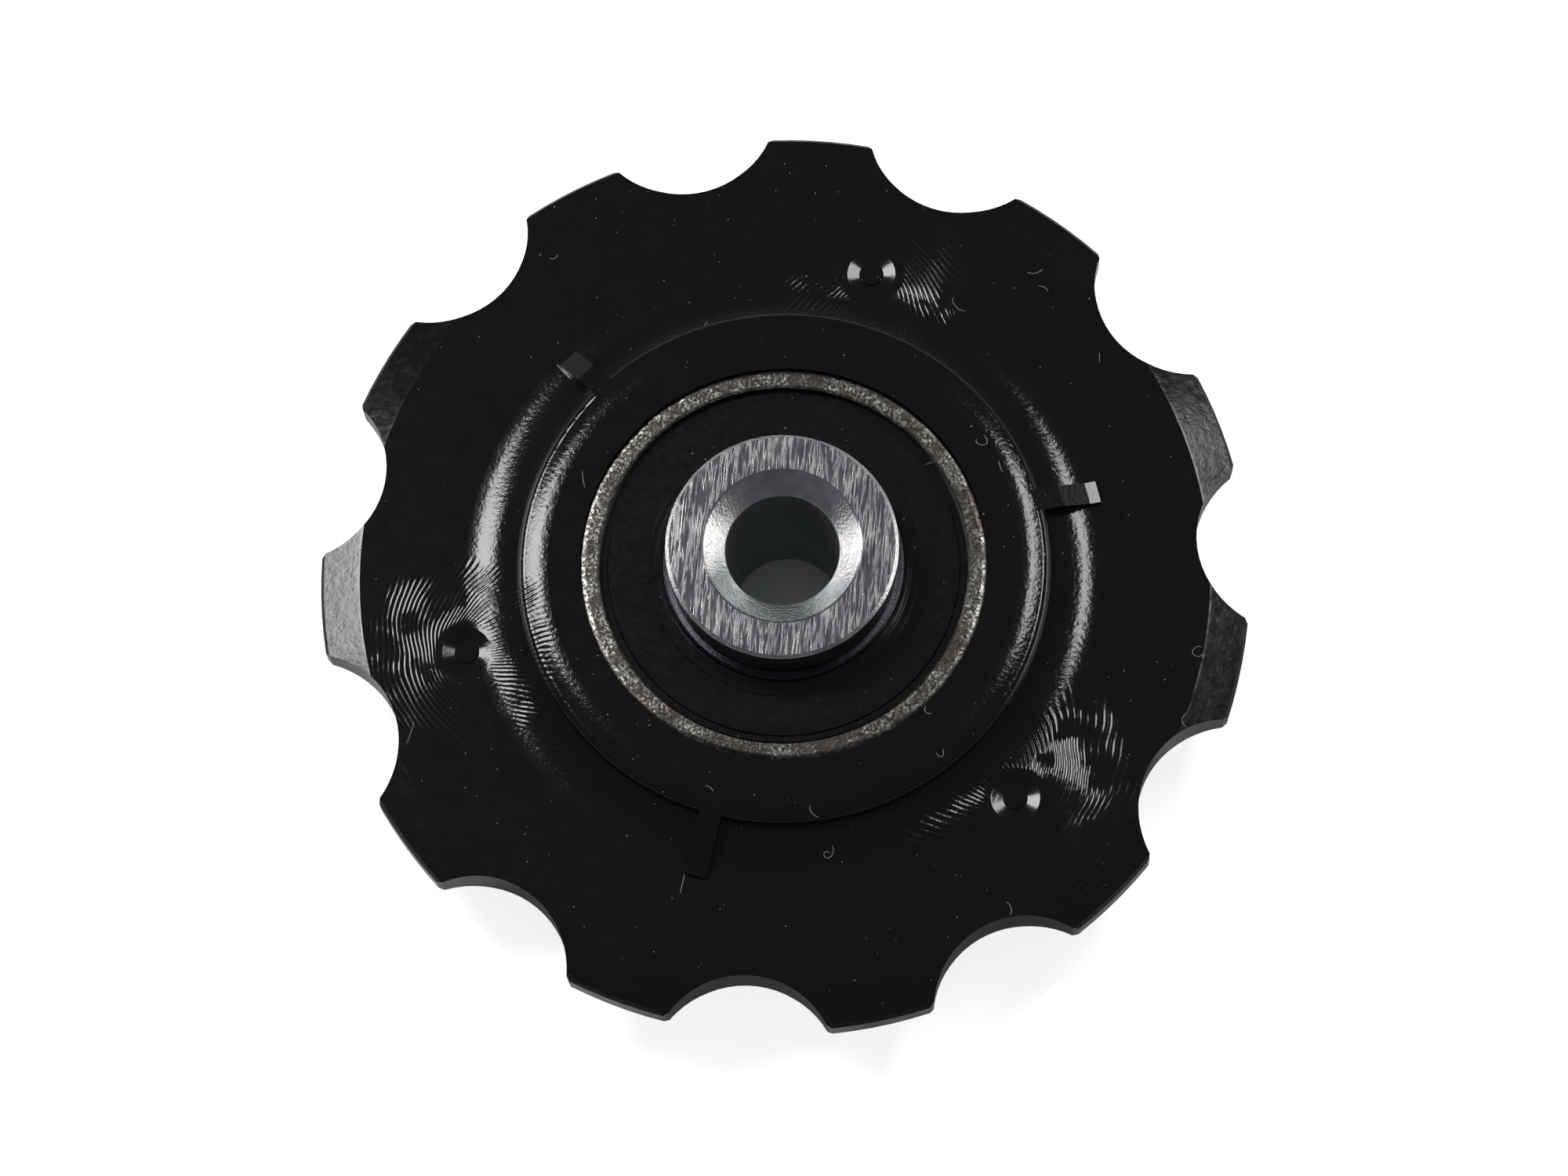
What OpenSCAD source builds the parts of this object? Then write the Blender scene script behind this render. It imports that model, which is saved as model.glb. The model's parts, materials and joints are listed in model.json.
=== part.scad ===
// Chain tensioner pulley: an eleven-tooth moulded wheel on a sealed ball bearing, with a steel
// bush through it that takes an M5 bolt. Millimetres. The origin is the centre of the bearing,
// in the middle plane of the wheel, and +Z runs along the bore towards the countersunk face.

/* [Teeth] */
// Pitch of the chain, from pin to pin
chain_pitch = 12.7; // [12.6:0.05:12.8]
// Diameter of the chain's rollers
roller_d = 7.77; // [7.5:0.01:8.1]
// Number of teeth
teeth = 11; // [10:1:13]
// Height of a tooth over the floor of the valley beside it
tooth_h = 2.345; // [2:0.005:2.7]
// Radius of the round valley between two teeth
valley_r = 4.2; // [3.9:0.05:4.5]
// Angle of the first tooth from +X
tooth_phase = 24.7; // [0:0.1:32]

/* [Disc] */
// Thickness of the disc that carries the teeth
disc_t = 2.2; // [2:0.05:2.4]
// Thickness of a tooth at its tip
tip_t = 1.4; // [1:0.05:1.8]
// Width of the bevel that thins the teeth, on each face
bevel_w = 1.8; // [1.2:0.1:2.2]
// Small edge break between a tooth's tip and its bevels
tip_break = 0.14; // [0.05:0.01:0.25]
// Depth of the break on a tooth's two corners
corner_break = 0.09; // [0.04:0.01:0.15]

/* [Hub] */
// Wall of the hub outside the bearing
hub_wall = 2.5; // [2.2:0.1:2.8]
// Lip of the hub over each face of the bearing, along the axis
lip_t = 0.15; // [0.1:0.01:0.3]
// How far the lip reaches in over the bearing's outer ring
lip_reach = 0.34; // [0.25:0.01:0.45]
// Radius of the soft crown that rounds the hub's face
crown_r = 3.4; // [3:0.1:4]
// Slope of the crown where it runs into the hub's rim
crown_slope = 19.5; // [16:0.5:22]
// Radius of the hub's rim below the crown
rim_r = 0.4; // [0.2:0.05:0.5]
// Width of the hollow curve that runs from the hub out to the disc
sweep_w = 2.4; // [2:0.1:2.7]
// Height of that curve where it meets the hub
sweep_h = 0.6; // [0.4:0.05:0.7]

/* [Ribs] */
// Number of gussets on the hub
ribs = 3; // [3:1:6]
// Angle of the first gusset from +X
rib_phase = 19; // [0:1:60]
// Thickness of a gusset
rib_t = 1; // [0.8:0.05:1.4]
// Drop from the hub's face to a gusset's top
rib_drop = 0.15; // [0.12:0.01:0.3]
// How far a gusset's root is buried in the hub
rib_root = 1.6; // [1.2:0.1:2]
// Distance of the knee in a gusset's top from the hub
rib_knee_w = 0.9; // [0.6:0.1:1.2]
// Height of the knee over the disc
rib_knee_h = 1; // [0.7:0.05:1.2]
// Length of the toe at a gusset's outer end
rib_toe_w = 0.5; // [0.3:0.05:0.8]
// Height of the toe over the disc
rib_toe_h = 0.3; // [0.2:0.05:0.5]
// Fall of the toe towards its end
rib_toe_fall = 0.1; // [0.05:0.01:0.15]
// How far the toe reaches past the hub's sweep
rib_toe_out = 0.25; // [0.1:0.05:0.4]

/* [Gates] */
// Number of moulding gates, each a shallow dish round a pip
gates = 3; // [3:1:6]
// Distance of a gate's centre past the hub's sweep
gate_out = 0.35; // [0.2:0.05:0.6]
// Angle of the first gate from +X
gate_phase = 79; // [0:1:120]
// Diameter of the dish at the surface
gate_d = 2.2; // [1.9:0.05:2.4]
// Diameter of the pip in the dish
pip_d = 1; // [0.7:0.05:1.1]
// Width of the dish's level floor round the pip
gate_floor_w = 0.06; // [0.04:0.01:0.15]
// Depth of the dish
gate_depth = 0.12; // [0.08:0.01:0.2]
// How far the pip stays below the disc
pip_sunk = 0.03; // [0.02:0.01:0.06]
// Diameter of the ejector pin marks on the far face
ejector_d = 2; // [1.5:0.1:2.2]
// Depth of the ejector pin marks
ejector_depth = 0.06; // [0.04:0.01:0.1]

/* [Bearing] */
// Diameter of the bearing's bore
bearing_bore = 10; // [9.8:0.05:10.1]
// Outside diameter of the bearing
bearing_od = 19; // [18.9:0.05:19.4]
// Width of the bearing
bearing_w = 5; // [4.8:0.05:5.4]
// Diameter of the balls
ball_d = 2.381; // [2.3:0.001:2.42]
// Running clearance between a ball and each race
race_gap = 0.03; // [0.02:0.005:0.06]
// Depth of the groove in each race
race_depth = 0.47; // [0.4:0.01:0.5]
// Radius of the outer ring's two outside corners
ring_round = 0.6; // [0.5:0.05:0.7]
// Edge break on the fine edges of both rings
edge_break = 0.1; // [0.04:0.01:0.12]

/* [Seals] */
// Clearance between a seal and the cage
cage_clear = 0.17; // [0.1:0.01:0.2]
// Thickness of a seal
seal_t = 0.52; // [0.48:0.01:0.56]
// Radial width of the outer ring's ledge behind a seal
ledge_w = 0.3; // [0.25:0.01:0.35]
// Radial depth of the groove in the outer ring that a seal snaps into
snap_depth = 0.2; // [0.1:0.01:0.25]
// Depth of that groove below the seal's face
snap_sunk = 0.16; // [0.1:0.01:0.18]
// Thickness of the steel insert behind the rubber
insert_t = 0.2; // [0.15:0.01:0.25]
// Running gap between the seal's lip and the inner ring
lip_gap = 0.05; // [0.03:0.01:0.1]
// Thickness of the inner ring's collar, which the seal's lip closes round
collar_t = 0.42; // [0.36:0.01:0.5]
// Width of the lip's inmost ridge
lip_w = 0.2; // [0.15:0.01:0.25]
// Width of the ridge outside it
ridge_w = 0.13; // [0.12:0.01:0.2]
// Width of the lip's outer band
band_w = 0.33; // [0.25:0.01:0.4]
// Rise from each ridge to the next one in
ridge_h = 0.07; // [0.04:0.005:0.08]
// Width of the step at the seal's outer edge
step_w = 0.35; // [0.25:0.01:0.4]
// Height of that step
step_h = 0.1; // [0.05:0.01:0.15]
// Rubber outside the rim of the steel insert
rim_w = 0.2; // [0.15:0.01:0.25]

/* [Cage] */
// Thickness of the cage's sheet
cage_t = 0.2; // [0.15:0.01:0.22]
// Width of the cage, measured across the ring
cage_w = 1; // [0.8:0.05:1.1]
// Clearance between a ball and its pocket
pocket_gap = 0.04; // [0.02:0.01:0.05]
// Diameter of a cage rivet
rivet_d = 0.44; // [0.3:0.02:0.5]
// Width of the rivet's head outside its shank
rivet_head_w = 0.13; // [0.08:0.01:0.15]
// Thickness of the rivet's head
rivet_head_h = 0.12; // [0.06:0.01:0.15]

/* [Bush] */
// Overall length of the bush
bush_l = 10.8; // [10.4:0.1:11.4]
// How far the bush stands out of the bearing on the countersunk side
bush_front = 2.7; // [2.4:0.1:3]
// Width of the shoulder that seats on the inner ring
shoulder_w = 0.2; // [0.15:0.01:0.3]
// Bore of the bush, for an M5 bolt
bore_d = 5.1; // [5:0.05:5.5]
// Diameter of the countersink at the face
countersink_d = 7; // [6.4:0.1:7.6]
// Depth of the countersink
countersink_h = 0.8; // [0.5:0.05:1]
// Edge break round the mouth of the countersink
mouth_break = 0.09; // [0.04:0.01:0.12]
// Bevel on the bush's outer edges
bush_bevel = 0.15; // [0.1:0.01:0.25]

/* [Hidden] */
$fn = 96;

// The bearing holds as many balls as there are ball nodes
balls = 11;
// Overlap that lets a cut run clear of the face it starts from
cut = 1;

// Wheel, from the chain outwards in
pitch_r = chain_pitch / (2 * sin(180 / teeth));
root_r = pitch_r - roller_d / 2;
tip_r = root_r + tooth_h;
disc_z = disc_t / 2;
bevel_slope = (disc_z - tip_t / 2) / bevel_w;

// Corner between a tooth's tip and a valley, measured from the valley's middle
valley_x = root_r + valley_r;
corner_a = acos((pow(tip_r, 2) + pow(valley_x, 2) - pow(valley_r, 2)) / (2 * tip_r * valley_x));
wall_a = atan2(-tip_r * sin(corner_a), valley_x - tip_r * cos(corner_a));
corner_turn = (corner_a + wall_a) / 2;

// Hub, from the bearing outwards
pocket_r = bearing_od / 2;
hub_r = pocket_r + hub_wall;
hub_z = bearing_w / 2 + lip_t;
rim_x = hub_r - rim_r;
crown_x = rim_x - (crown_r - rim_r) * sin(crown_slope);
rim_z = hub_z - crown_r + (crown_r - rim_r) * cos(crown_slope);
sweep_x = hub_r + sweep_w;
sweep_r = (pow(sweep_w, 2) + pow(sweep_h, 2)) / (2 * sweep_h);

// Gussets, gates and ejector marks, from the hub and the disc
rib_z = hub_z - rib_drop;
rib_in = hub_r - rib_root;
rib_foot = sweep_x + rib_toe_out;
rib_toe_z = disc_z + rib_toe_h;
gate_x = sweep_x + gate_out;
gate_floor_d = pip_d + 2 * gate_floor_w;
ejector_x = (sweep_x + root_r) / 2;

// Races, from the ball
ball_r = ball_d / 2;
ring_pitch_r = (bearing_bore + bearing_od) / 4;
race_r = ball_r + race_gap;
outer_land_r = ring_pitch_r + race_r - race_depth;
inner_land_r = ring_pitch_r - race_r + race_depth;

// Cage, from the ball
pocket_ball_r = ball_r + pocket_gap;
cup_r = pocket_ball_r + cage_t;

// Seals, between the cage and the bearing's face
ring_z = bearing_w / 2;
seal_back_z = cup_r + cage_clear;
seal_top_z = seal_back_z + seal_t;
snap_z = seal_top_z - snap_sunk;
seat_r = outer_land_r + ledge_w;
snap_r = seat_r + snap_depth;
collar_r = bearing_bore / 2 + collar_t;
seal_in_r = collar_r + lip_gap;
lip_r = seal_in_r + lip_w;
ridge_r = lip_r + ridge_w;
band_r = ridge_r + band_w;
insert_out_r = seat_r - rim_w;

// Bush, from the bearing
bush_top = ring_z + bush_front;
bush_bottom = bush_top - bush_l;
body_r = bearing_bore / 2;
bore_r = bore_d / 2;

// Round that rounds the outer ring's upper corner
module outer_ring_corner() {
    translate([pocket_r - ring_round, ring_z - ring_round])
        circle(ring_round);
}

// Upper half of the wheel's section: the disc with its bevel, the sweep and the crowned hub
module wheel_half_section() {
    polygon([[pocket_r, 0], [tip_r, 0], [tip_r, tip_t / 2 - tip_break],
             [tip_r - tip_break, tip_t / 2 + tip_break * bevel_slope],
             [tip_r - bevel_w, disc_z], [pocket_r, disc_z]]);
    difference() {
        translate([pocket_r, 0])
            square([sweep_x - pocket_r, disc_z + sweep_h]);
        translate([sweep_x, disc_z + sweep_r])
            circle(sweep_r);
    }
    translate([pocket_r, 0])
        square([hub_wall, rim_z]);
    translate([rim_x, rim_z])
        circle(rim_r);
    translate([crown_x, hub_z - crown_r])
        intersection() {
            circle(crown_r);
            polygon([[0, 0], [0, crown_r], [rim_x - crown_x, crown_r],
                     [rim_x - crown_x, rim_z - hub_z + crown_r]]);
        }
    translate([pocket_r, 0])
        square([crown_x - pocket_r, hub_z]);
    // Lip over the rounded corner of the bearing's outer ring
    difference() {
        translate([pocket_r - lip_reach, ring_z - ring_round])
            square([lip_reach + ring_round, hub_z - ring_z + ring_round]);
        outer_ring_corner();
    }
}

// Gusset that stands on the disc against the hub, seen from its side
module rib() {
    rotate([90, 0, 0])
        linear_extrude(rib_t, center = true)
            polygon([[rib_in, 0], [rib_in, rib_z], [rim_x, rib_z],
                     [hub_r + rib_knee_w, disc_z + rib_knee_h], [rib_foot - rib_toe_w, rib_toe_z],
                     [rib_foot, rib_toe_z - rib_toe_fall], [rib_foot, 0]]);
}

// Shallow dish round a pip, left where the plastic was fed in
module gate_cut() {
    translate([0, 0, disc_z - gate_depth])
        difference() {
            union() {
                cylinder(h = gate_depth, d1 = gate_floor_d, d2 = gate_d);
                translate([0, 0, gate_depth])
                    cylinder(h = cut, d = gate_d);
            }
            translate([0, 0, -cut])
                cylinder(h = cut + gate_depth - pip_sunk, d = pip_d);
        }
}

// Round valley for one chain roller, with the breaks on the tooth corners beside it
module valley_cut() {
    translate([valley_x, 0, 0])
        cylinder(h = disc_t + cut, r = valley_r, center = true);
    for (side = [0, 1])
        mirror([0, side, 0])
            rotate(corner_a)
                translate([tip_r, 0, 0])
                    rotate(corner_turn - corner_a)
                        translate([cut / 2 - corner_break, 0, 0])
                            cube([cut, 2 * cut, disc_t + cut], center = true);
}

// Toothed wheel with its hub, moulded in one round the bearing
module pulley_wheel() {
    color("#1c1c1e")
    difference() {
        union() {
            rotate_extrude() {
                wheel_half_section();
                mirror([0, 1]) wheel_half_section();
            }
            for (i = [0 : ribs - 1], side = [0, 1])
                mirror([0, 0, side])
                    rotate(rib_phase + i * 360 / ribs)
                        rib();
        }
        for (i = [0 : teeth - 1])
            rotate(tooth_phase + (i + 0.5) * 360 / teeth)
                valley_cut();
        for (i = [0 : gates - 1])
            rotate(gate_phase + i * 360 / gates)
                translate([gate_x, 0, 0])
                    gate_cut();
        for (i = [0 : gates - 1])
            rotate(gate_phase + i * 360 / gates)
                translate([ejector_x, 0, -disc_z - cut])
                    cylinder(h = cut + ejector_depth, d = ejector_d);
    }
}

// A ring's whole section, from the points of its upper half
function both_halves(upper) =
    concat(upper, [for (i = [len(upper) - 1 : -1 : 0]) [upper[i][0], -upper[i][1]]]);

// Outer ring of the bearing, held in the wheel
module outer_ring() {
    upper = [[pocket_r, ring_z], [seat_r + edge_break, ring_z], [seat_r, ring_z - edge_break],
             [seat_r, snap_z], [snap_r, snap_z - snap_depth / 2], [snap_r, seal_back_z],
             [outer_land_r, seal_back_z]];
    color("#9a9890")
    rotate_extrude()
        difference() {
            polygon(both_halves(upper));
            translate([ring_pitch_r, 0])
                circle(race_r);
            for (side = [0, 1])
                mirror([0, side])
                    difference() {
                        translate([pocket_r - ring_round, ring_z - ring_round])
                            square(ring_round + cut);
                        outer_ring_corner();
                    }
        }
}

// Inner ring of the bearing, pressed on the bush
module inner_ring() {
    upper = [[body_r, ring_z - edge_break], [body_r + edge_break, ring_z],
             [collar_r - edge_break, ring_z], [collar_r, ring_z - edge_break],
             [collar_r, seal_back_z - insert_t], [inner_land_r, seal_back_z - insert_t]];
    color("#8f8d86")
    rotate_extrude()
        difference() {
            polygon(both_halves(upper));
            translate([ring_pitch_r, 0])
                circle(race_r);
        }
}

// Rubber face of a seal: a snap edge, a stepped face and a ridged lip round the inner ring
module seal() {
    stairs = [for (i = [0 : 2], foot = [0, 1])
              [[band_r, ridge_r, lip_r][i] - foot * ridge_h, seal_top_z + (i + foot) * ridge_h]];
    color("#222224")
    rotate_extrude()
        polygon(concat([[seal_in_r, seal_back_z], [band_r, seal_back_z],
                        [band_r, seal_back_z + insert_t], [insert_out_r, seal_back_z + insert_t],
                        [insert_out_r, seal_back_z], [snap_r, seal_back_z],
                        [snap_r, snap_z - snap_depth / 2], [seat_r, snap_z],
                        [seat_r, seal_top_z - step_h], [seat_r - step_w, seal_top_z - step_h],
                        [seat_r - step_w - step_h / 2, seal_top_z]],
                       stairs,
                       [[seal_in_r, seal_top_z + 3 * ridge_h]]));
}

// Steel washer that stiffens a seal from behind
module seal_insert() {
    color("#b4b4b0")
    translate([0, 0, seal_back_z])
        difference() {
            cylinder(h = insert_t, r = insert_out_r);
            translate([0, 0, -cut])
                cylinder(h = insert_t + 2 * cut, r = band_r);
        }
}

// One pressed half of the cage: a flat ring with a half-round cup for each ball
module cage_half() {
    color("#a8a294")
    difference() {
        intersection() {
            union() {
                cylinder(h = cage_t, r = ring_pitch_r + cage_w / 2);
                for (i = [0 : balls - 1])
                    rotate(i * 360 / balls)
                        translate([ring_pitch_r, 0, 0])
                            sphere(cup_r, $fn = 48);
            }
            cylinder(h = cup_r + cut, r = ring_pitch_r + cage_w / 2);
        }
        translate([0, 0, -cut])
            cylinder(h = cup_r + 3 * cut, r = ring_pitch_r - cage_w / 2);
        for (i = [0 : balls - 1])
            rotate(i * 360 / balls)
                translate([ring_pitch_r, 0, 0])
                    sphere(pocket_ball_r, $fn = 48);
        for (i = [0 : balls - 1])
            rotate((i + 0.5) * 360 / balls)
                translate([ring_pitch_r, 0, -cut])
                    cylinder(h = cage_t + 2 * cut, d = rivet_d, $fn = 24);
    }
}

// Rivets between the cups, which clench the two halves of the cage
module cage_rivets() {
    color("#8c8678")
    for (i = [0 : balls - 1])
        rotate((i + 0.5) * 360 / balls)
            translate([ring_pitch_r, 0, 0]) {
                cylinder(h = 2 * cage_t, d = rivet_d, center = true, $fn = 24);
                for (side = [0, 1])
                    mirror([0, 0, side])
                        translate([0, 0, cage_t])
                            cylinder(h = rivet_head_h, d = rivet_d + 2 * rivet_head_w, $fn = 24);
            }
}

// Ball number i of the bearing
module ball(i) {
    color("#c8c8cc")
    rotate((i - 1) * 360 / balls)
        translate([ring_pitch_r, 0, 0])
            sphere(ball_r, $fn = 48);
}

// Steel bush with a shoulder on the inner ring and a countersunk mouth
module bush() {
    color("#b9bcc0")
    rotate_extrude()
        polygon([[bore_r + bush_bevel, bush_bottom], [body_r - bush_bevel, bush_bottom],
                 [body_r, bush_bottom + bush_bevel], [body_r, ring_z],
                 [body_r + shoulder_w, ring_z], [body_r + shoulder_w, bush_top - bush_bevel],
                 [body_r + shoulder_w - bush_bevel, bush_top],
                 [countersink_d / 2 + mouth_break, bush_top],
                 [countersink_d / 2, bush_top - mouth_break / 3],
                 [bore_r, bush_top - countersink_h], [bore_r, bush_bottom + bush_bevel]]);
}

pulley_wheel();
outer_ring();
inner_ring();
seal();  // front_seal
seal_insert();  // front_seal_insert
mirror([0, 0, 1]) seal();  // rear_seal
mirror([0, 0, 1]) seal_insert();  // rear_seal_insert
cage_half();  // front_cage_half
mirror([0, 0, 1]) cage_half();  // rear_cage_half
cage_rivets();
ball(1);  // ball_1
ball(2);  // ball_2
ball(3);  // ball_3
ball(4);  // ball_4
ball(5);  // ball_5
ball(6);  // ball_6
ball(7);  // ball_7
ball(8);  // ball_8
ball(9);  // ball_9
ball(10);  // ball_10
ball(11);  // ball_11
bush();
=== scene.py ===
import json
import math
import random

import bmesh
import bpy
from mathutils import Matrix, Vector
from mathutils.bvhtree import BVHTree


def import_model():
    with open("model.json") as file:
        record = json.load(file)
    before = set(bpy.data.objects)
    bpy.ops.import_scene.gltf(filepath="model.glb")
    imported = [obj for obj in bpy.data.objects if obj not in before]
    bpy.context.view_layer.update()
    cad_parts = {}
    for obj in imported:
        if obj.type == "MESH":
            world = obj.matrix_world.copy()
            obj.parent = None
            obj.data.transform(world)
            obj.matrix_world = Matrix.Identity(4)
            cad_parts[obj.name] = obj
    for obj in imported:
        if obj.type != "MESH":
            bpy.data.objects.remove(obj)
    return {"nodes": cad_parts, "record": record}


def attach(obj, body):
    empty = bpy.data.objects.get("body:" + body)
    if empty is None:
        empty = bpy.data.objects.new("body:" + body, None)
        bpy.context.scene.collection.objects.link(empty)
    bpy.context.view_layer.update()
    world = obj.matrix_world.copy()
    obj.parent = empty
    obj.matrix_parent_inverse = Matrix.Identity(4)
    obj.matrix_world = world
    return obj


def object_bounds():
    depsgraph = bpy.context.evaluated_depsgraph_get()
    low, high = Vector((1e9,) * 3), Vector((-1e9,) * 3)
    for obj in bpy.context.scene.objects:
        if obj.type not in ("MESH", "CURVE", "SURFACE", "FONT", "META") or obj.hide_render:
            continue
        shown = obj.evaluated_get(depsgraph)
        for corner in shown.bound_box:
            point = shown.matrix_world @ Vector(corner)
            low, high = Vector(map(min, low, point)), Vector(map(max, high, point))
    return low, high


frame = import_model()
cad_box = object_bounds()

MM = 0.001

# Camera, in millimetres in the part's frame
CAMERA_AT = (11.74, -69.63, 238.47)
CAMERA_LOOKS_AT = (0.0, -0.45, 0.0)
CAMERA_UP = (-0.072, 0.957, 0.281)
CAMERA_LENS = 126
CAMERA_SENSOR = 36

# Soft panels over the part: place, width and height in millimetres, and power in watts
LEFT_PANEL = ((-175, 103, 350), (122, 104), 0.58)
RIGHT_PANEL = ((140, 135, 350), (60, 133), 0.27)

# Tones of the room: its side walls, its back wall, and its front and ceiling
SIDE_WALLS = (2.5, 2.5, 2.4, 1)
BACK_WALL = (0.38, 0.42, 0.38, 1)
CEILING = (0.082, 0.086, 0.095, 1)
WHITE = (1, 1, 1, 1)

# Where one part of the room fades into the next, along a direction of length one
BACK_WALL_Y = (0.4, 0.7)
FRONT_Y = (-0.35, 0.1)
WALL_TOP_Z = (0.25, 0.5)

# Floor: half its width in millimetres, its tone, and the glow that lifts it to white
FLOOR_HALF = 1500
FLOOR_TONE = (0.86, 0.86, 0.855, 1)
FLOOR_GLOW = 0.8

# The wheel's own layout, in millimetres and degrees, as the part's source has it
SWEEP_R = 14.4
BEVEL_R = 19.2
GATES = 3
GATE_PHASE = 79
GATE_X = 14.75
GATE_R = 1.1
BORE_R = 2.55
COLLAR_R = 5.6

# Tones that each material runs between
POM_TONES = ((0.0050, 0.0052, 0.0056, 1), (0.0072, 0.0071, 0.0068, 1))
SEAL_TONES = ((0.0045, 0.0045, 0.0047, 1), (0.0075, 0.0075, 0.0073, 1))
RING_TONES = ((0.13, 0.122, 0.112, 1), (0.34, 0.335, 0.32, 1))
RING_PIT_TONE = (0.050, 0.044, 0.038, 1)
# Darker, bluer tone of the ring's collar next to the bush
RING_COLLAR_TONE = (0.06, 0.062, 0.07, 1)
BUSH_TONES = ((0.56, 0.57, 0.60, 1), (0.76, 0.76, 0.75, 1))
# Darker, greenish tone of the bore: painted shade inside the hole and a painted green reflection
BORE_SHADE_TONE = (0.34, 0.37, 0.34, 1)
BALL_TONES = ((0.66, 0.66, 0.67, 1), (0.74, 0.74, 0.75, 1))
SHEET_TONES = ((0.38, 0.37, 0.34, 1), (0.58, 0.57, 0.54, 1))
LINT_TONES = ((0.16, 0.16, 0.155, 1), (0.42, 0.42, 0.40, 1))

# Roughness that each material's polish runs between, and what wear adds to it
POM_ROUGHNESS = (0.09, 0.13)
BEVEL_WEAR = 0.04
SEAL_ROUGHNESS = (0.12, 0.18)
RING_ROUGHNESS = (0.24, 0.15)
BUSH_ROUGHNESS = (0.11, 0.15)
GROUND_WEAR = 0.14
CONE_WEAR = 0.12
BORE_WEAR = 0.4
BALL_ROUGHNESS = (0.05, 0.12)
SHEET_ROUGHNESS = (0.42, 0.30)

# Relief in the surfaces, in millimetres
HUB_GRAIN = 0.0095
DISC_GRAIN = 0.0018
BEVEL_SCUFFS = 0.006
SEAL_GRAIN = 0.0008
RING_PITS = 0.016
BUSH_SCRATCHES = 0.0012
BUSH_PITS = 0.001
CONE_PITS = 0.022

# Flow lines round each gate, from the first on: reach, height, number and inner radius
FLOW_LINES = ((4.8, 0.0100, 60, 12.3), (4.6, 0.0042, 72, 10.6), (6.0, 0.0084, 60, 12.3))

# How far the flow lines wander, and how ragged the edge of their patch is, in millimetres
FLOW_DRIFT = 0.9
FLOW_RAGGED = 3.0

# Scratches on the bush's ends: direction in degrees, and how many to a millimetre each way
SCRATCHES = ((-25, 5.0, 0.5), (-9, 6.0, 0.6), (8, 5.5, 0.5), (24, 5.0, 0.5))

# Lint on the wheel: middle x and y, direction, length, and the angle that it curls through
LINT = (
    (10.3, 15.2, 16, 0.8, 70), (10.7, 14.3, -34, 0.55, -80), (7.1, 13.4, -27, 1.0, 160),
    (13.5, 11.2, -86, 0.45, 0), (3.5, -13.4, -52, 1.3, 300), (7.8, -8.1, 34, 0.7, 200),
    (8.7, 6.8, 39, 1.2, 290), (-3.3, -14.7, -97, 1.0, 5), (2.4, -11.3, -28, 0.7, 110),
    (-16.1, -8.8, 77, 1.1, 8), (-4.7, 11.3, 49, 0.6, 60), (19.3, -2.7, -63, 1.3, 260),
    (11.2, -14.8, -65, 0.7, -90), (-9.3, 3.2, -75, 0.85, 10), (-11.6, 7.4, -35, 0.65, -15),
    (9.4, 5.2, -64, 0.55, 20), (-11.8, 14.3, 40, 0.5, 100), (18.7, -5.6, -57, 0.9, 130),
    (7.1, -6.4, -42, 0.6, 150), (-2.4, -10.7, -23, 0.5, -60), (6.4, 5.0, -25, 0.9, -140),
)

# A fibre's radius, points and sides, how much its tips narrow, and how unevenly it curls
LINT_R = 0.018
LINT_STEPS = 9
LINT_SIDES = 5
LINT_TIP = 0.4
LINT_SWAY = (0.2, 1.8)

# Grains of dust: how many are thrown at the wheel, their radius and how long they are drawn
GRAINS = 420
GRAIN_R = (0.014, 0.034)
GRAIN_STRETCH = (0.6, 1.8)

# Start of the random draws for the lint and the dust
SEED = 11


def camera():
    """Stands the camera where the photograph was taken from."""
    data = bpy.data.cameras.new("camera")
    data.lens = CAMERA_LENS
    data.sensor_width = CAMERA_SENSOR
    data.sensor_fit = "HORIZONTAL"
    data.clip_start = 0.01
    data.clip_end = 10
    eye = bpy.data.objects.new("camera", data)
    bpy.context.scene.collection.objects.link(eye)
    place = Vector(CAMERA_AT) * MM
    back = (place - Vector(CAMERA_LOOKS_AT) * MM).normalized()
    right = Vector(CAMERA_UP).cross(back).normalized()
    up = back.cross(right)
    turn = Matrix((right, up, back)).transposed().to_4x4()
    eye.matrix_world = Matrix.Translation(place) @ turn
    bpy.context.scene.camera = eye


def panel(name, at, size, power):
    """Hangs a flat soft light over the part, facing its centre with its width along X."""
    data = bpy.data.lights.new(name, "AREA")
    data.shape = "RECTANGLE"
    data.size = size[0] * MM
    data.size_y = size[1] * MM
    data.energy = power
    lamp = bpy.data.objects.new(name, data)
    bpy.context.scene.collection.objects.link(lamp)
    place = Vector(at) * MM
    back = place.normalized()
    up = back.cross(Vector((1, 0, 0))).normalized()
    turn = Matrix((up.cross(back), up, back)).transposed().to_4x4()
    lamp.matrix_world = Matrix.Translation(place) @ turn


def node_maker(tree):
    """Gives a short function that adds a node with its settings and inputs."""
    def add(kind, settings=None, **inputs):
        made = tree.nodes.new(kind)
        for key, value in (settings or {}).items():
            setattr(made, key, value)
        for key, value in inputs.items():
            name = key.replace("_", " ")
            socket = made.inputs[int(key[1:])] if key[1:].isdigit() else made.inputs[name]
            if isinstance(value, bpy.types.NodeSocket):
                tree.links.new(value, socket)
            else:
                socket.default_value = value
        return made
    return add


def feed(node, **sources):
    """Links outputs to a node's inputs."""
    for key, source in sources.items():
        node.id_data.links.new(source, node.inputs[key.replace("_", " ")])


def maths(add, operation, value):
    """Puts one value through a maths node."""
    return add("ShaderNodeMath", {"operation": operation}, i0=value).outputs[0]


def blend(add, operation, *values):
    """Chains a two-input maths node over all the values."""
    total = values[0]
    for value in values[1:]:
        total = add("ShaderNodeMath", {"operation": operation}, i0=total, i1=value).outputs[0]
    return total


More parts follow.
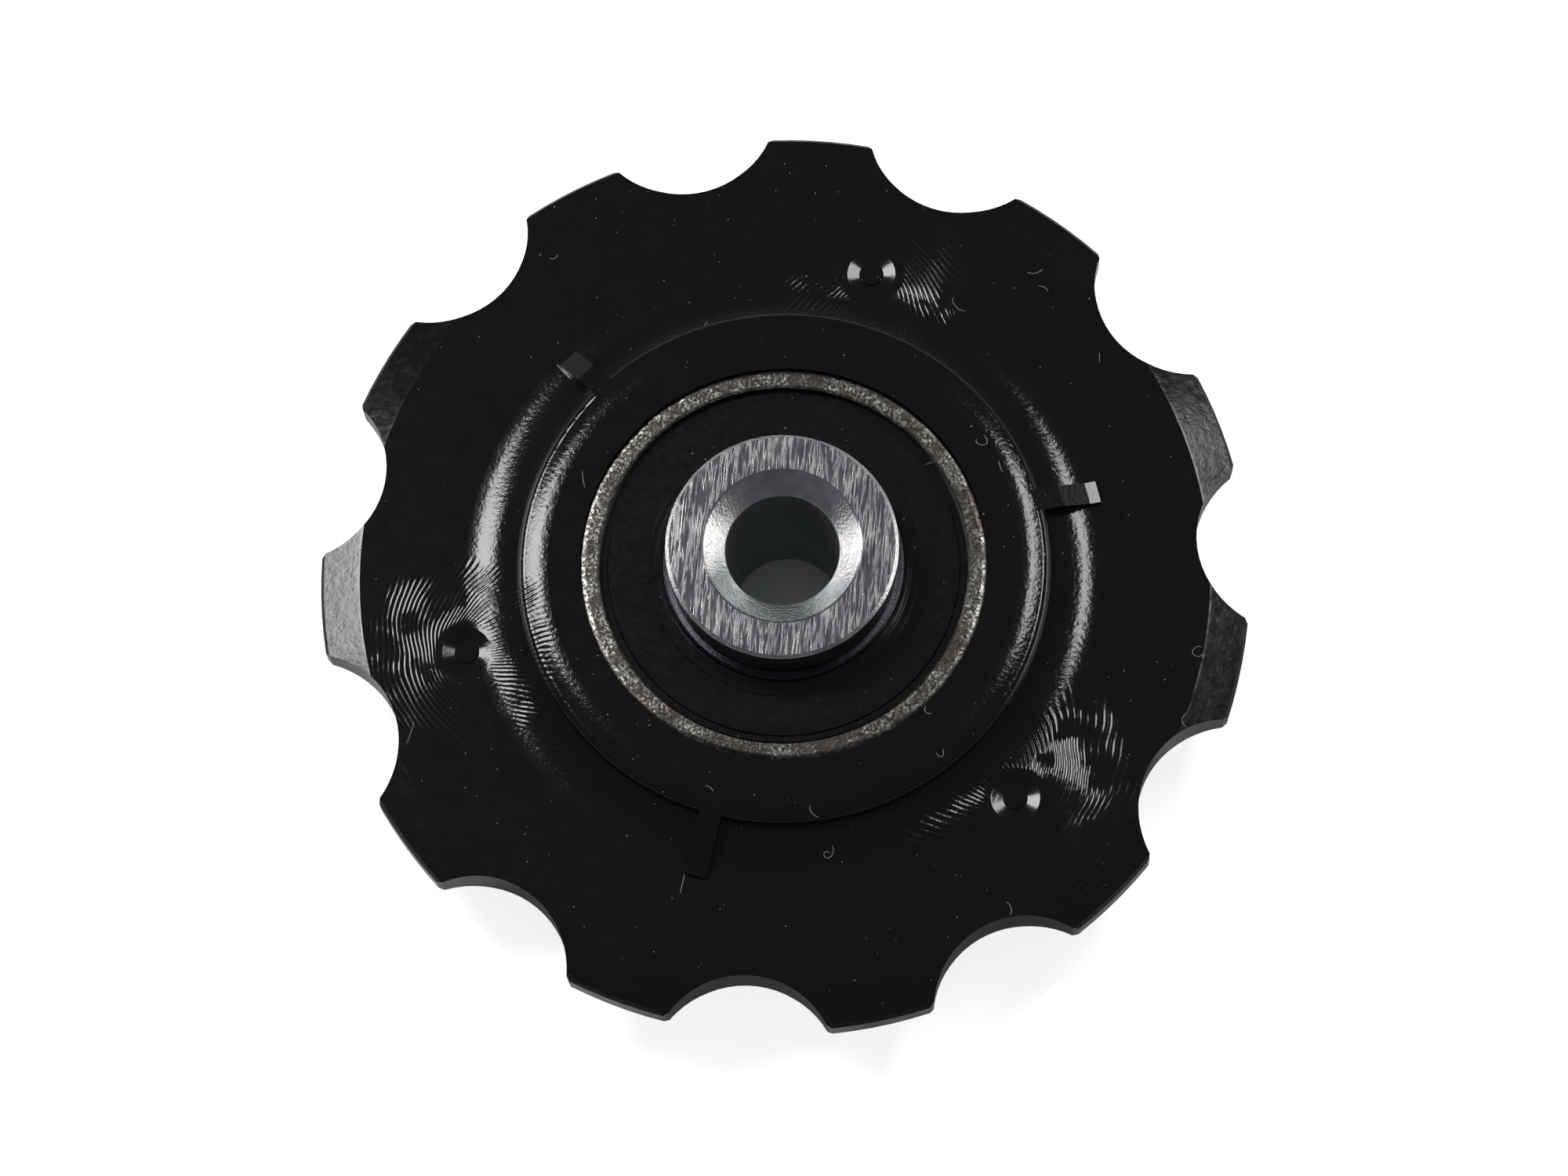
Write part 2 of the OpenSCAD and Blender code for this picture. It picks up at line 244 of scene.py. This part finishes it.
def ramp(add, value, start, end, low, high, kind="SMOOTHSTEP"):
    """Takes a value from low to high between start and end."""
    return add("ShaderNodeMapRange", {"interpolation_type": kind}, i0=value, i1=start,
               i2=end, i3=low, i4=high).outputs[0]


def spread(add, value, low, high):
    """Takes the middle of a noise's range straight from low to high."""
    return ramp(add, value, 0.3, 0.7, low, high, "LINEAR")


def mix(add, share, first, second):
    """Colour between two others."""
    return add("ShaderNodeMix", {"data_type": "RGBA"}, i0=share, i6=first, i7=second).outputs[2]


def vector(add, operation, first, second):
    """Vector worked out from two others."""
    return add("ShaderNodeVectorMath", {"operation": operation}, i0=first, i1=second).outputs[0]


def length(add, value):
    """Length of a vector."""
    return add("ShaderNodeVectorMath", {"operation": "LENGTH"}, i0=value).outputs["Value"]


def flatten(add, place):
    """Place with its height taken away."""
    return vector(add, "MULTIPLY", place, (1, 1, 0))


def noise(add, place, scale, detail, roughness=0.5):
    """Strength of a fractal noise at a place."""
    return add("ShaderNodeTexNoise", Vector=place, Scale=scale, Detail=detail,
               Roughness=roughness).outputs[0]


def relief(add, *heights):
    """Normal of a surface that is raised by the sum of some heights in millimetres."""
    return add("ShaderNodeBump", Height=blend(add, "ADD", *heights), Distance=MM).outputs[0]


def world():
    """Lights the part from a pale room: bright side walls, duller back wall, dim front and top."""
    room = bpy.data.worlds.new("room")
    room.use_nodes = True
    room.node_tree.nodes.clear()
    add = node_maker(room.node_tree)
    out = add("ShaderNodeOutputWorld")
    ray = add("ShaderNodeLightPath")
    way = add("ShaderNodeTexCoord").outputs["Generated"]
    axis = add("ShaderNodeSeparateXYZ", i0=way)
    backward = ramp(add, axis.outputs["Y"], *BACK_WALL_Y, 0.0, 1.0)
    low = ramp(add, axis.outputs["Z"], *WALL_TOP_Z, 1.0, 0.0)
    behind = ramp(add, axis.outputs["Y"], *FRONT_Y, 0.0, 1.0)
    walls = mix(add, backward, SIDE_WALLS, BACK_WALL)
    shade = mix(add, blend(add, "MULTIPLY", low, behind), CEILING, walls)
    seen = mix(add, ray.outputs["Is Camera Ray"], shade, WHITE)
    feed(out, Surface=add("ShaderNodeBackground", Color=seen, Strength=1.0).outputs[0])
    bpy.context.scene.world = room


def floor_look():
    """White paper that glows a little to the camera. The glow fades out towards the axis, so the
    floor under the bore and round the bush's foot keeps a painted shade.
    """
    look = bpy.data.materials.new("floor")
    look.use_nodes = True
    look.node_tree.nodes.clear()
    add = node_maker(look.node_tree)
    out = add("ShaderNodeOutputMaterial")
    ray = add("ShaderNodeLightPath")
    paper = add("ShaderNodeBsdfDiffuse", Color=FLOOR_TONE).outputs[0]
    reach = length(add, flatten(add, add("ShaderNodeTexCoord").outputs["Object"]))
    # Painted shade: the glow is held back near the axis, so the floor under the bush stays darker.
    bright = ramp(add, reach, BORE_R * MM, 4 * BORE_R * MM, 0.0, FLOOR_GLOW)
    glow = add("ShaderNodeEmission", Color=WHITE, Strength=bright).outputs[0]
    lit = add("ShaderNodeAddShader", i0=paper, i1=glow).outputs[0]
    seen = add("ShaderNodeMixShader", i0=ray.outputs["Is Camera Ray"], i1=paper, i2=lit)
    feed(out, Surface=seen.outputs[0])
    return look


def floor():
    """Pale floor that the bush's far end stands on."""
    mesh = bpy.data.meshes.new("floor")
    half = FLOOR_HALF * MM
    low = cad_box[0].z
    corners = [(-half, -half, low), (half, -half, low), (half, half, low), (-half, half, low)]
    mesh.from_pydata(corners, [], [(0, 1, 2, 3)])
    mesh.materials.append(floor_look())
    ground = bpy.data.objects.new("floor", mesh)
    bpy.context.scene.collection.objects.link(ground)


def surface(name, **settings):
    """Starts a material, with its node maker, its shader and coordinates in millimetres."""
    look = bpy.data.materials.new(name)
    look.use_nodes = True
    look.node_tree.nodes.clear()
    add = node_maker(look.node_tree)
    out = add("ShaderNodeOutputMaterial")
    shader = add("ShaderNodeBsdfPrincipled", **settings)
    feed(out, Surface=shader.outputs[0])
    place = add("ShaderNodeTexCoord").outputs["Object"]
    mm = add("ShaderNodeVectorMath", {"operation": "SCALE"}, i0=place, Scale=1 / MM).outputs[0]
    return look, add, shader, mm


def distance_from_axis(add, mm):
    """Distance of a point from the part's axis, in millimetres."""
    return length(add, flatten(add, mm))


def flow_lines(add, mm, angle, reach, height, count, inner_r):
    """Height of the moulding's flow lines, which bend round a gate and run in towards the hub."""
    inward = (-math.cos(angle), -math.sin(angle), 0)
    gate = (GATE_X * math.cos(angle), GATE_X * math.sin(angle), 0)
    flat = flatten(add, mm)
    away = vector(add, "SUBTRACT", flat, gate)
    drift = add("ShaderNodeTexNoise", Vector=flat, Scale=0.35, Detail=1.0).outputs["Color"]
    drift = vector(add, "SUBTRACT", drift, (0.5, 0.5, 0.5))
    bent = vector(add, "ADD", away, vector(add, "MULTIPLY", drift, (FLOW_DRIFT, FLOW_DRIFT, 0)))
    along = add("ShaderNodeVectorMath", {"operation": "DOT_PRODUCT"}, i0=bent, i1=inward)
    curve = maths(add, "SQRT", blend(add, "SUBTRACT", length(add, bent), along.outputs["Value"]))
    wave = maths(add, "SINE", blend(add, "MULTIPLY", curve, float(count)))
    broken = ramp(add, noise(add, flat, 0.5, 3.0), 0.36, 0.58, 0.2, 1.0)
    far = length(add, away)
    begin = ramp(add, far, GATE_R + 0.1, GATE_R + 0.6, 0.0, 1.0)
    ragged = blend(add, "MULTIPLY", noise(add, flat, 0.7, 3.0), FLOW_RAGGED)
    end = ramp(add, blend(add, "ADD", ragged, far), reach + 0.6, reach + 1.6, 1.0, 0.0)
    inside = ramp(add, distance_from_axis(add, mm), inner_r, inner_r + 0.4, 0.0, 1.0)
    return blend(add, "MULTIPLY", wave, broken, begin, end, inside, height)


def black_pom():
    """Glossy black acetal, with flow lines at the gates and scuffs on the teeth's bevels."""
    look, add, shader, mm = surface("black_pom", IOR=1.48)
    radius = distance_from_axis(add, mm)
    bevel = ramp(add, radius, BEVEL_R - 0.1, BEVEL_R + 0.1, 0.0, 1.0)
    scuffs = noise(add, mm, 2.6, 6.0, 0.6)
    worn = blend(add, "MULTIPLY", bevel, ramp(add, scuffs, 0.4, 0.65, 0.0, BEVEL_WEAR))
    haze = spread(add, noise(add, mm, 0.9, 5.0), *POM_ROUGHNESS)
    etched = ramp(add, radius, SWEEP_R - 0.8, SWEEP_R + 0.2, HUB_GRAIN, DISC_GRAIN)
    heights = [
        blend(add, "MULTIPLY", noise(add, mm, 5.5, 3.0), etched),
        blend(add, "MULTIPLY", scuffs, bevel, BEVEL_SCUFFS),
    ]
    for gate, lines in enumerate(FLOW_LINES):
        angle = math.radians(GATE_PHASE + gate * 360 / GATES)
        heights.append(flow_lines(add, mm, angle, *lines))
    feed(shader, Base_Color=mix(add, noise(add, mm, 0.35, 3.0), *POM_TONES),
         Roughness=blend(add, "ADD", haze, worn), Normal=relief(add, *heights))
    return look


def seal_rubber():
    """Black nitrile rubber, satin, with a fine grain."""
    look, add, shader, mm = surface("seal_rubber", IOR=1.5)
    tone = noise(add, mm, 3.0, 6.0)
    grain = blend(add, "MULTIPLY", noise(add, mm, 10.0, 4.0), SEAL_GRAIN)
    feed(shader, Base_Color=mix(add, tone, *SEAL_TONES),
         Roughness=spread(add, tone, *SEAL_ROUGHNESS), Normal=relief(add, grain))
    return look


def ring_steel():
    """Bearing ring with a dull, finely pitted face, and a darker collar next to the bush."""
    look, add, shader, mm = surface("ring_steel", Metallic=1.0)
    film = ramp(add, noise(add, mm, 1.1, 4.0, 0.6), 0.4, 0.6, 0.0, 1.0)
    pits = noise(add, mm, 7.5, 4.0, 0.7)
    whole = ramp(add, pits, 0.42, 0.60, 0.0, 1.0)
    # A collar next to the bush is mixed towards a darker, bluer tone.
    darker_collar = ramp(add, distance_from_axis(add, mm), COLLAR_R, COLLAR_R + 0.5, 1.0, 0.0)
    face = mix(add, whole, RING_PIT_TONE, mix(add, film, *RING_TONES))
    feed(shader, Base_Color=mix(add, darker_collar, face, RING_COLLAR_TONE),
         Roughness=ramp(add, whole, 0.0, 1.0, *RING_ROUGHNESS, "LINEAR"),
         Normal=relief(add, blend(add, "MULTIPLY", pits, RING_PITS)))
    return look


def scratches(add, mm, turn, across, along):
    """Mask of fine broken scratches that all run much the same way."""
    laid = add("ShaderNodeMapping", i0=mm, Location=(turn, 0, 0),
               Rotation=(0, 0, math.radians(turn)), Scale=(across, along, 0)).outputs[0]
    cells = add("ShaderNodeTexVoronoi", {"feature": "DISTANCE_TO_EDGE"}, Vector=laid, Scale=1.0)
    lines = ramp(add, cells.outputs["Distance"], 0.02, 0.10, 1.0, 0.0)
    broken = ramp(add, noise(add, laid, 0.9, 1.0), 0.45, 0.60, 0.0, 1.0)
    return blend(add, "MULTIPLY", lines, broken)


def bush_steel():
    """Plated steel: short scratches across its flat ends, a pitted countersink and a dull bore,
    whose darker greenish colour is painted shade and a painted reflection.
    """
    look, add, shader, mm = surface("bush_steel", Metallic=1.0)
    normal = add("ShaderNodeNewGeometry").outputs["True Normal"]
    upright = maths(add, "ABSOLUTE", add("ShaderNodeSeparateXYZ", i0=normal).outputs["Z"])
    ends = ramp(add, upright, 0.95, 0.99, 0.0, 1.0)
    cone = blend(add, "MULTIPLY", ramp(add, upright, 0.60, 0.70, 0.0, 1.0),
                 ramp(add, upright, 0.80, 0.90, 1.0, 0.0))
    bore = ramp(add, distance_from_axis(add, mm), BORE_R + 0.01, BORE_R + 0.04, 1.0, 0.0)
    lines = [scratches(add, mm, *laid) for laid in SCRATCHES]
    ground = blend(add, "MULTIPLY", blend(add, "MAXIMUM", *lines), ends)
    film = noise(add, mm, 0.9, 5.0, 0.6)
    pits = noise(add, mm, 8.0, 3.0)
    plated = mix(add, ramp(add, film, 0.35, 0.65, 0.0, 1.0), *BUSH_TONES)
    dull = (
        spread(add, film, *BUSH_ROUGHNESS),
        blend(add, "MULTIPLY", ground, GROUND_WEAR),
        blend(add, "MULTIPLY", cone, CONE_WEAR),
        blend(add, "MULTIPLY", bore, BORE_WEAR),
    )
    heights = (
        blend(add, "MULTIPLY", ground, BUSH_SCRATCHES),
        blend(add, "MULTIPLY", pits, BUSH_PITS),
        blend(add, "MULTIPLY", pits, cone, CONE_PITS),
    )
    # The bore's colour is painted shade with a painted green reflection; its added roughness is
    # its dull finish.
    feed(shader, Base_Color=mix(add, bore, plated, BORE_SHADE_TONE),
         Roughness=blend(add, "ADD", *dull), Normal=relief(add, *heights))
    return look


def ball_steel():
    """Polished bearing ball."""
    look, add, shader, mm = surface("ball_steel", Metallic=1.0)
    haze = noise(add, mm, 6.0, 3.0)
    feed(shader, Base_Color=mix(add, haze, *BALL_TONES),
         Roughness=spread(add, haze, *BALL_ROUGHNESS))
    return look


def sheet_steel():
    """Cold-rolled sheet, with the direction of rolling just visible."""
    look, add, shader, mm = surface("sheet_steel", Metallic=1.0)
    stretched = add("ShaderNodeMapping", i0=mm, Scale=(6.0, 0.8, 1.0)).outputs[0]
    rolled = noise(add, stretched, 1.2, 5.0)
    feed(shader, Base_Color=mix(add, rolled, *SHEET_TONES),
         Roughness=spread(add, rolled, *SHEET_ROUGHNESS))
    return look


def dress():
    """Gives every CAD node the material of its slot."""
    looks = {
        "black_pom": black_pom(),
        "seal_rubber": seal_rubber(),
        "ring_steel": ring_steel(),
        "bush_steel": bush_steel(),
        "ball_steel": ball_steel(),
        "sheet_steel": sheet_steel(),
    }
    for part in frame["record"]["subparts"]:
        mesh = frame["nodes"][part["node"]].data
        mesh.materials.clear()
        mesh.materials.append(looks[part["material_slot"]])


def lint_look():
    """Pale dust and textile fibre."""
    look, add, shader, mm = surface("lint", Roughness=0.7, IOR=1.45)
    feed(shader, Base_Color=mix(add, noise(add, mm, 2.0, 2.0), *LINT_TONES))
    return look


def upper_side():
    """The wheel and its front seal as one surface, to lay the dust on."""
    points = []
    faces = []
    for name in ("pulley_wheel", "front_seal"):
        mesh = frame["nodes"][name].data
        start = len(points)
        points.extend(vertex.co.copy() for vertex in mesh.vertices)
        faces.extend([start + i for i in face.vertices] for face in mesh.polygons)
    return BVHTree.FromPolygons(points, faces)


def lie(tree, x, y, lift):
    """Point on the upper side at x and y, raised a little, or None beside the wheel."""
    above = Vector((x * MM, y * MM, 2 * cad_box[1].z))
    spot = tree.ray_cast(above, Vector((0, 0, -1)))[0]
    if spot is None or spot.z < 0:
        return None
    return spot + Vector((0, 0, lift * MM))


def heading(angle):
    """Unit vector in the plane at an angle in radians."""
    return Vector((math.cos(angle), math.sin(angle)))


def add_tube(body, points, radius):
    """Adds a thin tube along the points to a mesh, with narrower tips."""
    turns = [2 * math.pi * k / LINT_SIDES for k in range(LINT_SIDES)]
    last = len(points) - 1
    rings = []
    for i, point in enumerate(points):
        ahead = points[min(i + 1, last)] - points[max(i - 1, 0)]
        side = ahead.cross(Vector((0, 0, 1))).normalized()
        lift = side.cross(ahead).normalized()
        size = radius * (LINT_TIP if i in (0, last) else 1)
        rings.append([body.verts.new(point + size * (math.cos(t) * side + math.sin(t) * lift))
                      for t in turns])
    for near, far in zip(rings, rings[1:]):
        for k in range(LINT_SIDES):
            after = (k + 1) % LINT_SIDES
            body.faces.new((near[k], near[after], far[after], far[k]))
    body.faces.new(reversed(rings[0]))
    body.faces.new(rings[-1])


def place_piece(name, body, look, carrier):
    """Turns a mesh into a piece that rides on a body."""
    mesh = bpy.data.meshes.new(name)
    bmesh.ops.recalc_face_normals(body, faces=body.faces)
    body.to_mesh(mesh)
    body.free()
    mesh.materials.append(look)
    piece = bpy.data.objects.new(name, mesh)
    bpy.context.scene.collection.objects.link(piece)
    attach(piece, carrier)


def lint_fibres(tree, look):
    """Curled fibres that lie on the wheel. One that falls beside it is left out."""
    draw = random.Random(SEED)
    body = bmesh.new()
    for x, y, angle, reach, curl in LINT:
        step = reach / (LINT_STEPS - 1)
        bend = math.radians(curl) / (LINT_STEPS - 1)
        at = Vector((x, y)) - heading(math.radians(angle)) * reach / 2
        course = math.radians(angle - curl / 2)
        path = []
        for _ in range(LINT_STEPS):
            spot = lie(tree, at.x, at.y, LINT_R)
            if spot is not None:
                path.append(spot)
            at = at + step * heading(course)
            course += bend * draw.uniform(*LINT_SWAY)
        if len(path) > 2:
            add_tube(body, path, LINT_R * MM)
    place_piece("lint_fibres", body, look, "wheel")


def dust_grains(tree, look):
    """Fine grains of dust, scattered over the wheel and the seal and partly sunk in."""
    draw = random.Random(SEED)
    body = bmesh.new()
    reach = cad_box[1].x / MM
    for _ in range(GRAINS):
        x = draw.uniform(-reach, reach)
        y = draw.uniform(-reach, reach)
        size = draw.uniform(*GRAIN_R)
        stretch = draw.uniform(*GRAIN_STRETCH)
        turn = draw.uniform(0, math.pi)
        spot = lie(tree, x, y, size / 3)
        if spot is None:
            continue
        shape = Matrix.Diagonal((size * stretch * MM, size * MM, size * MM / 2, 1))
        laid = Matrix.Translation(spot) @ Matrix.Rotation(turn, 4, "Z") @ shape
        bmesh.ops.create_icosphere(body, subdivisions=1, radius=1.0, matrix=laid)
    place_piece("dust_grains", body, look, "wheel")


camera()
world()
floor()
panel("left_panel", *LEFT_PANEL)
panel("right_panel", *RIGHT_PANEL)
dress()
lint = lint_look()
top = upper_side()
lint_fibres(top, lint)
dust_grains(top, lint)
bpy.context.scene.view_settings.view_transform = "Standard"
